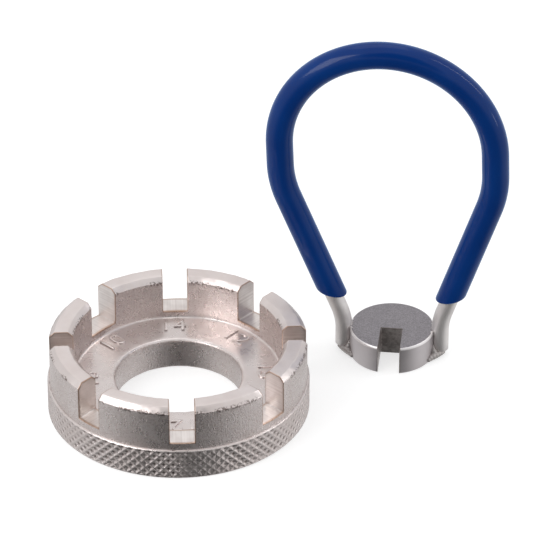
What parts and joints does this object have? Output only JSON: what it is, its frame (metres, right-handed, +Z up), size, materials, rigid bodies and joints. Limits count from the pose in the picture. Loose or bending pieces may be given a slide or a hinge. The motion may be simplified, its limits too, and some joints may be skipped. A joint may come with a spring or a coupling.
{
  "type": "spoke wrench",
  "caption": "Round castellated spoke wrench with a knurled band and slots of graded width, beside a slotted-head spoke wrench with a vinyl-covered bow handle.",
  "frame": {"origin": "on the axis of the round wrench's middle bore, in the plane that both tools stand on", "axes": "+Z up along the bore towards the jaws, +X through the round wrench's slot of the narrower pair, towards the loop wrench"},
  "size_m": [0.0849, 0.048, 0.0661],
  "materials": {
    "cast_nickel": "nickel-plated casting, satin and slightly grainy, with milled slot faces",
    "satin_steel": "satin nickel-plated steel",
    "weld_steel": "small plated weld beads",
    "blue_vinyl": "smooth glossy dipped vinyl"
  },
  "bodies": {
    "round_wrench": {"ring_wrench": "cast_nickel"},
    "loop_wrench": {"nipple_head": "satin_steel", "bow_rod": "satin_steel", "vinyl_grip": "blue_vinyl", "weld_left": "weld_steel", "weld_right": "weld_steel"}
  },
  "joints": [
    {"name": "loop_lift", "type": "slide", "parent": "round_wrench", "child": "loop_wrench", "axis": [0, 0, 1], "range_m": [0, 0.08]}
  ]
}
